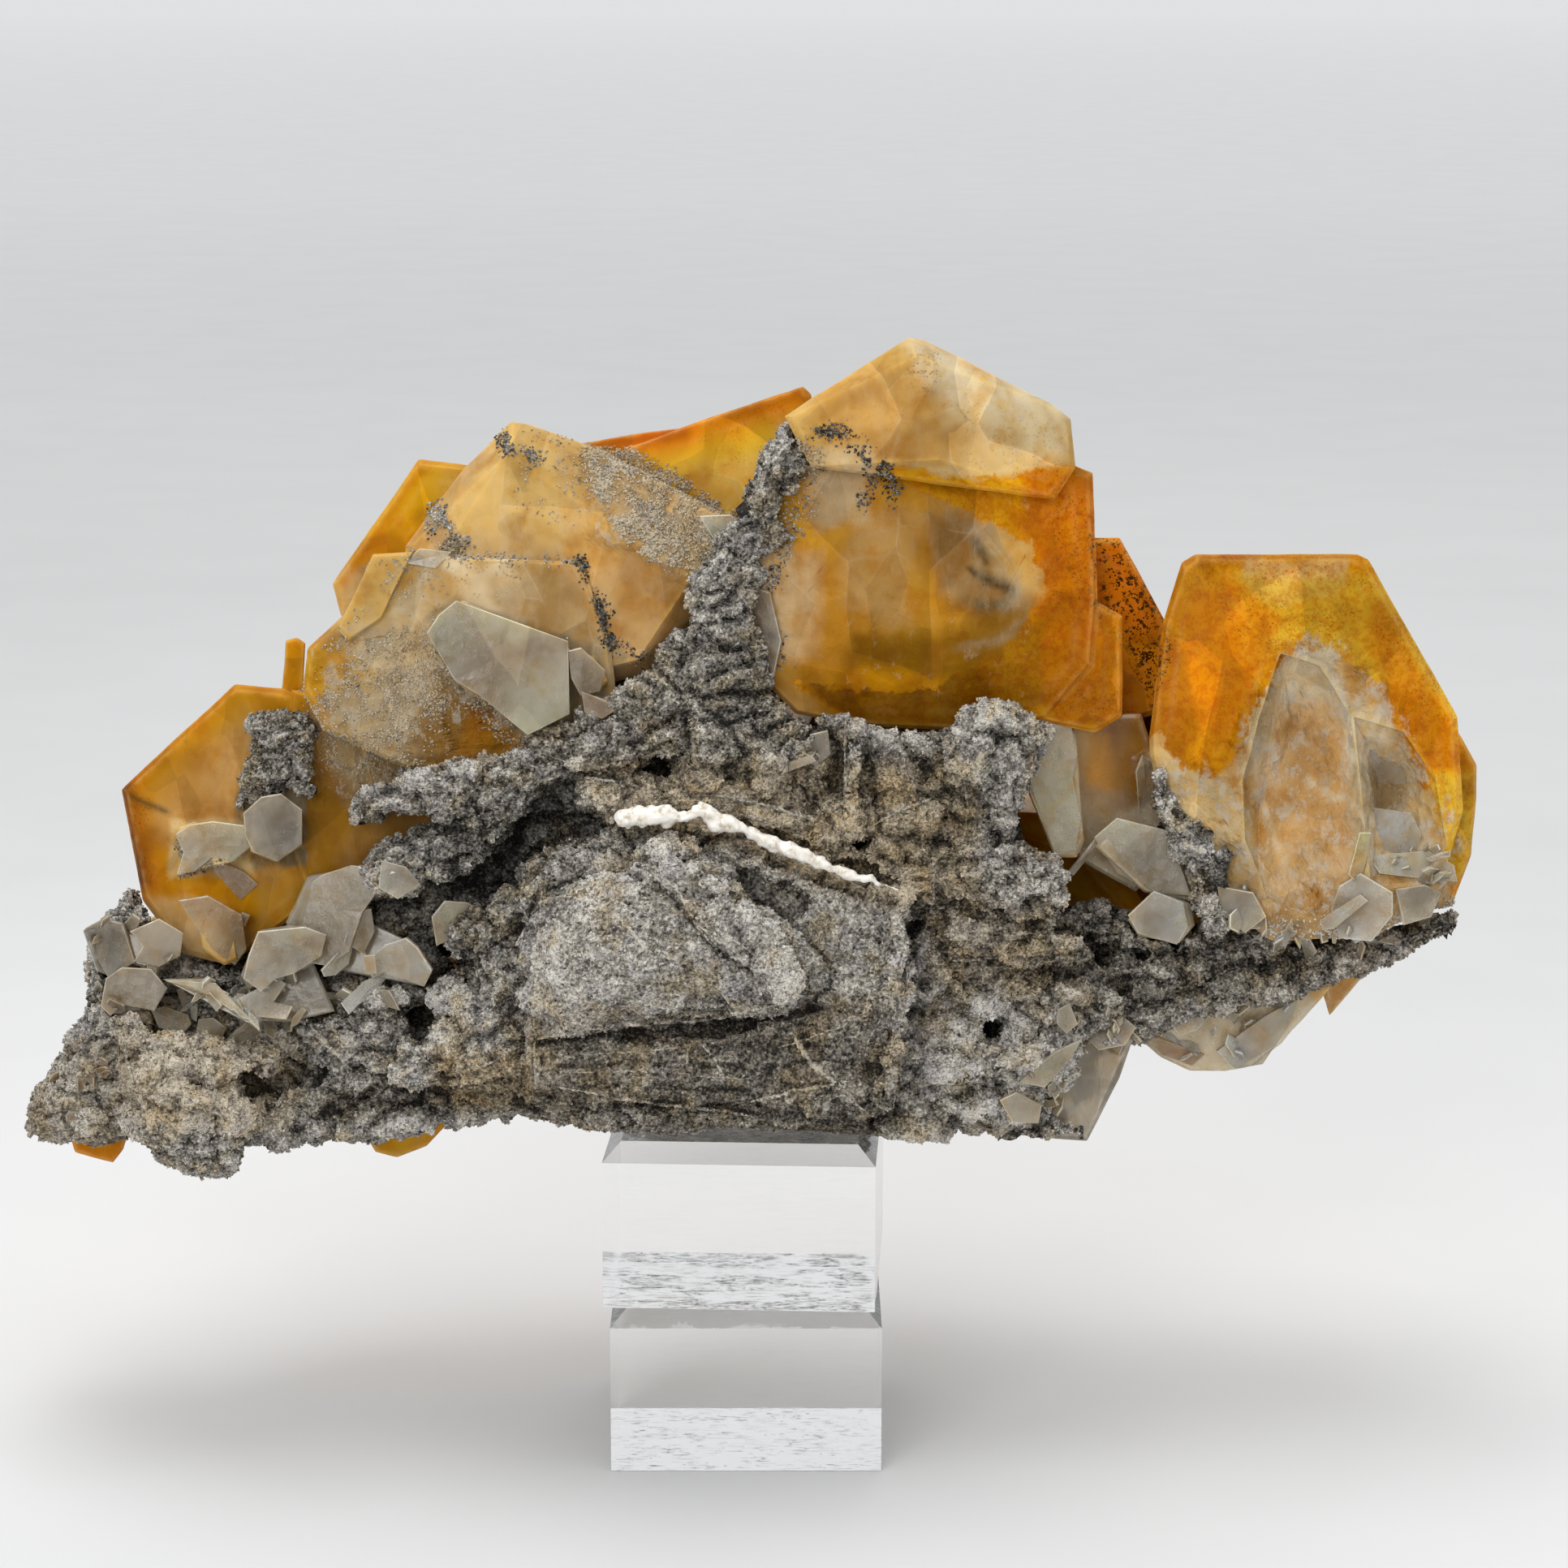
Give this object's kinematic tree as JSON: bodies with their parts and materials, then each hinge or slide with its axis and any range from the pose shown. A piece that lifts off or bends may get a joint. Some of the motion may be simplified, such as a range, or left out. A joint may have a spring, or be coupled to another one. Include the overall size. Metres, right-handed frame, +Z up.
{
  "type": "calcite cluster",
  "caption": "Golden calcite crystal cluster on grey matrix, resting on clear display blocks.",
  "frame": {"origin": "middle of the stand's underside, on the surface that it stands on", "axes": "+X along the cluster's length, to the viewer's right; +Y away from the viewer of the broken side, towards the crystals' display side; +Z up"},
  "size_m": [0.2762, 0.108, 0.2086],
  "materials": {
    "calcite_amber": "translucent honey-coloured crystal, satin faces",
    "calcite_pale": "translucent pale crystal, glossy faces",
    "calcite_white": "opaque white crystal, satin",
    "matrix_rock": "rough, granular rock",
    "clear_acrylic": "clear and polished, with fine scratches"
  },
  "bodies": {
    "root": {"left_crystals": "calcite_amber", "peak_crystals": "calcite_amber", "right_crystal": "calcite_amber", "rear_left_crystals": "calcite_amber", "rear_middle_crystals": "calcite_amber", "rear_right_crystals": "calcite_amber", "pocket_crystals": "calcite_pale", "underside_crystals": "calcite_pale", "foot_crystal": "calcite_pale", "left_shelf_crystals": "calcite_pale", "left_end_crystals": "calcite_pale", "matrix": "matrix_rock", "left_rock_crust": "matrix_rock", "white_vein": "calcite_white", "upper_acrylic_block": "clear_acrylic", "lower_acrylic_block": "clear_acrylic"}
  },
  "joints": []
}
